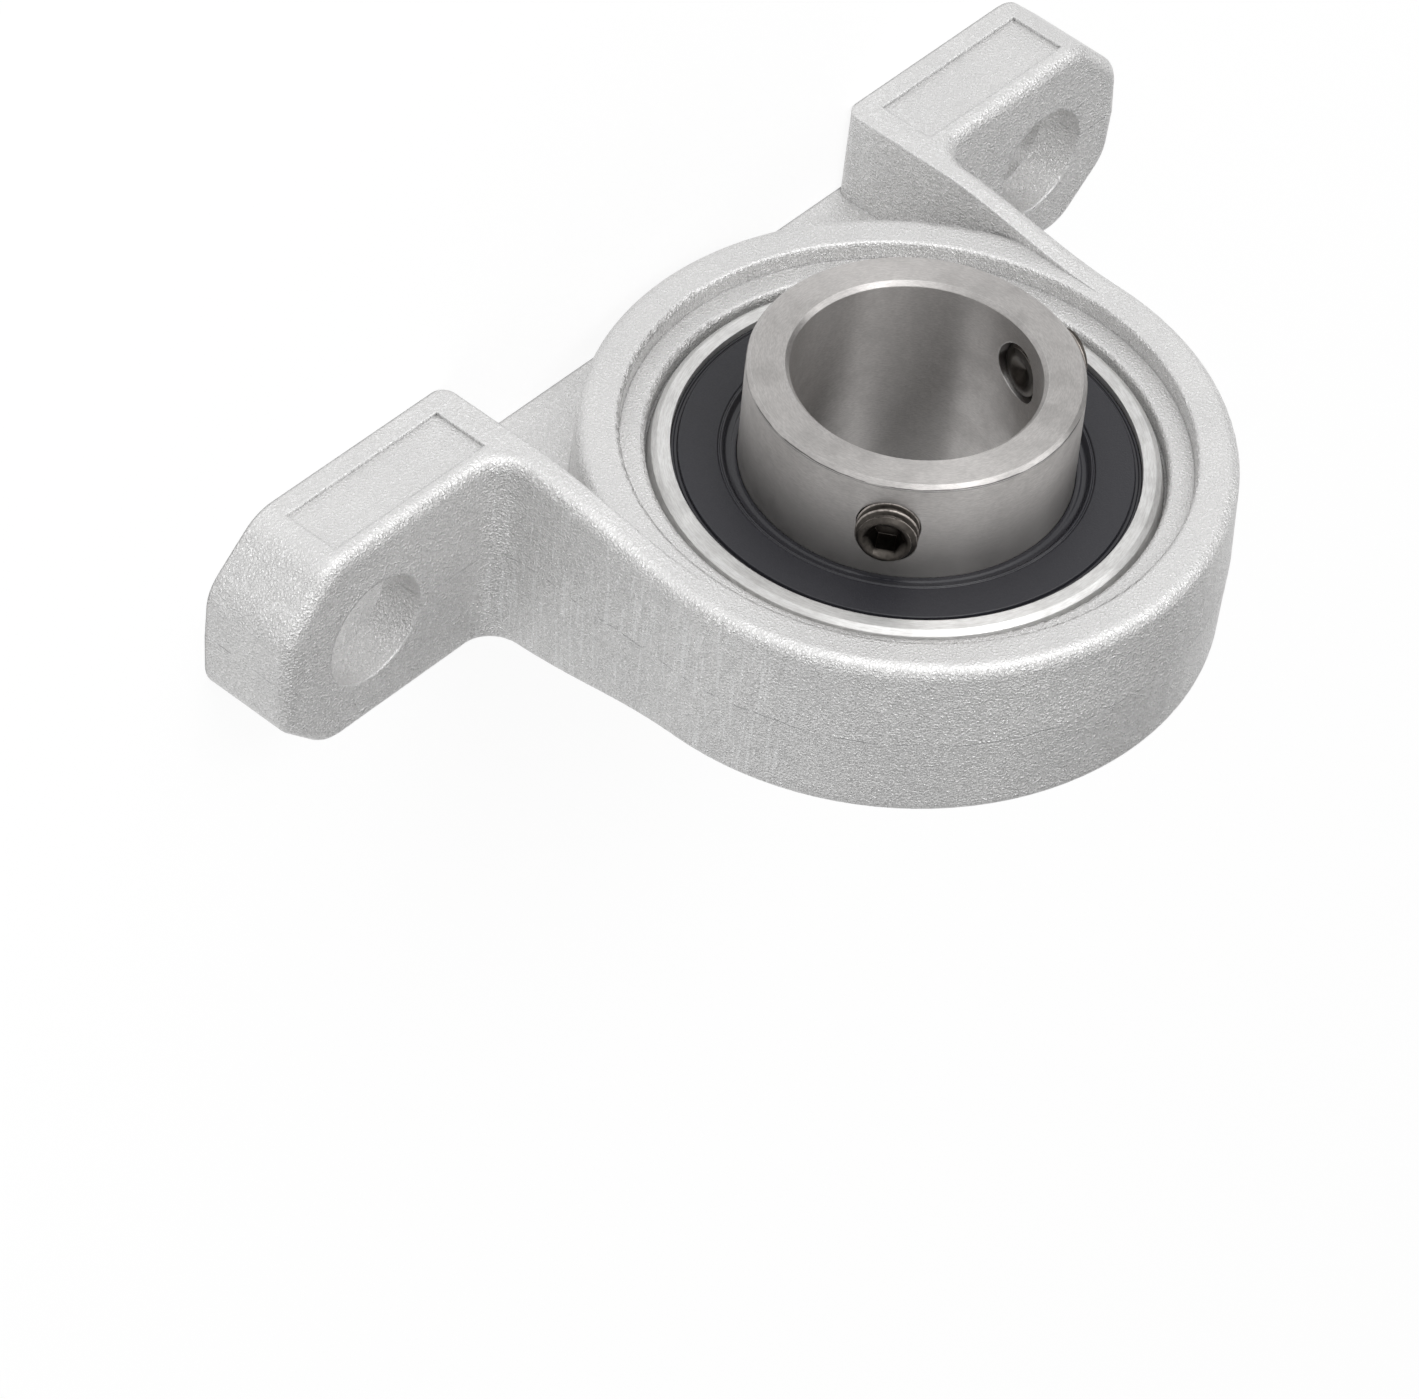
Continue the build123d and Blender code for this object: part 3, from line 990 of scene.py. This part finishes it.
def floor_white():
    """The finish of the floor."""
    material = bpy.data.materials.new("floor_white")
    material.use_nodes = True
    matt = material.node_tree.nodes["Principled BSDF"]
    fill(material, matt.inputs["Base Color"], FLOOR_GREY)
    fill(material, matt.inputs["Roughness"], 0.9)
    strength = between(material, mirror_ray(material), 0, 1, FLOOR_GLOW, FLOOR_MIRRORED)
    glow = add(material, "ShaderNodeEmission", {"Color": (1, 1, 1), "Strength": strength})
    share = between(material, seen_ray(material), 0, 1, 0, GLOWING_SHARE)
    both = add(material, "ShaderNodeMixShader", {0: share, 1: matt.outputs[0], 2: glow.outputs[0]})
    output = material.node_tree.nodes["Material Output"]
    fill(material, output.inputs["Surface"], both.outputs[0])
    return material


half = FLOOR_SIZE / 2
ground = housing_low.z
floor_corners = [(-half, -half, ground), (half, -half, ground), (half, half, ground), (-half, half, ground)]
plate("floor", floor_corners, floor_white())
print("white floor", FLOOR_SIZE, "m wide")

# %% [markdown]
# ## Lamps
# Lamps shape the metal. A broad and weak one stands in front of the object. A smaller and
# stronger one above it gives the light its direction, and a small one near the camera
# fills the side that the camera looks at. The last one is for gloss alone: it draws a
# bright line along polished edges and lights nothing else.
#
# A lamp's power says little about how bright its face is, because a larger face spreads
# it. So each lamp is given a size and a brightness, and the power follows from both.

# %% Lamps


def aimed(place, target, roll=0.0):
    """The matrix of something at a place, looking at a target along its own -Z."""
    look = (Vector(target) - Vector(place)).to_track_quat("-Z", "Y").to_matrix().to_4x4()
    return Matrix.Translation(place) @ look @ Matrix.Rotation(roll, 4, "Z")


def softbox(name, place, size, glow):
    """A square lamp of this size whose face is this many times as bright as white."""
    lamp = bpy.data.lights.new(name, "AREA")
    lamp.shape = "SQUARE"
    lamp.size = size
    lamp.energy = glow * math.pi * size * size
    piece = bpy.data.objects.new(name, lamp)
    piece.matrix_world = aimed(place, bearing)
    scene.collection.objects.link(piece)
    return piece


softbox("front_softbox", place=(0.05, -0.60, 0.25), size=0.8, glow=0.75)
softbox("key_lamp", place=(0.08, -0.55, 0.55), size=0.3, glow=3.2)
softbox("fill_softbox", place=(0.40, -0.42, 0.50), size=0.12, glow=3.0)
edge_lamp = softbox("edge_softbox", place=(-0.42, -0.31, 0.56), size=0.3, glow=2.2)
edge_lamp.visible_diffuse = False

# %% [markdown]
# ## Cards for the steel to mirror
# Polished steel only looks like steel when part of what it mirrors is dark. So a black
# card stands at the left, a wide grey one behind the object, and two more black ones
# behind it, for the bore at the right and for the feet at the left. A card shows in
# reflections alone: neither the camera nor any shadow knows about it. It glows in its own
# grey, so that the lamps can't brighten it.

# %% Cards


def card_finish(name, grey):
    """A card that looks the same shade of grey from everywhere."""
    material = bpy.data.materials.new(name)
    material.use_nodes = True
    shade_of_card = add(material, "ShaderNodeEmission", {"Color": (grey, grey, grey)})
    output = material.node_tree.nodes["Material Output"]
    fill(material, output.inputs["Surface"], shade_of_card.outputs["Emission"])
    return material


def card(name, place, width, height, finish):
    """A flat card that faces the bearing and shows in reflections alone."""
    matrix = aimed(place, bearing)
    corners = [(-width, -height), (width, -height), (width, height), (-width, height)]
    points = [matrix @ Vector((x / 2, y / 2, 0)) for x, y in corners]
    piece = plate(name, points, finish)
    piece.visible_camera = False
    piece.visible_diffuse = False
    piece.visible_shadow = False
    piece.visible_transmission = False


black = card_finish("card_black", 0.02)
grey = card_finish("card_grey", 0.6)
card("left_card", place=(-0.5, -0.15, 0.1), width=0.25, height=0.5, finish=black)
card("back_card", place=(0.0, 0.45, 0.32), width=1.2, height=0.7, finish=grey)
card("bore_card", place=(0.20, 0.26, 0.18), width=0.29, height=0.44, finish=black)
card("foot_card", place=(-0.28, 0.36, 0.25), width=0.40, height=0.40, finish=black)

# %% [markdown]
# ## The camera
# The photograph is taken from in front, above and to the right with a long lens, and the
# camera is turned far over, so that the shaft points up the picture. A camera's turn
# about its own line of sight is its roll. Here the camera is first aimed at a point in
# the bearing with its top upward, and then rolled. Place, target, roll and lens were
# fitted so that the bore, the rings and the corners of the feet land where they do in the
# photograph.

# %% Camera
CAMERA_PLACE = Vector((335.8, -394.8, 274.6)) * MM
CAMERA_TARGET = Vector((17.7, 11.7, 24.6)) * MM
CAMERA_ROLL = math.radians(124.7)
LENS = 183.2
SENSOR = 36

camera_data = bpy.data.cameras.new("photo_camera")
camera_data.lens = LENS
camera_data.sensor_width = SENSOR
camera_data.clip_start = 0.01
camera = bpy.data.objects.new("photo_camera", camera_data)
camera.matrix_world = aimed(CAMERA_PLACE, CAMERA_TARGET, CAMERA_ROLL)
scene.collection.objects.link(camera)
scene.camera = camera
print("camera", round((CAMERA_PLACE - CAMERA_TARGET).length, 3), "m away")
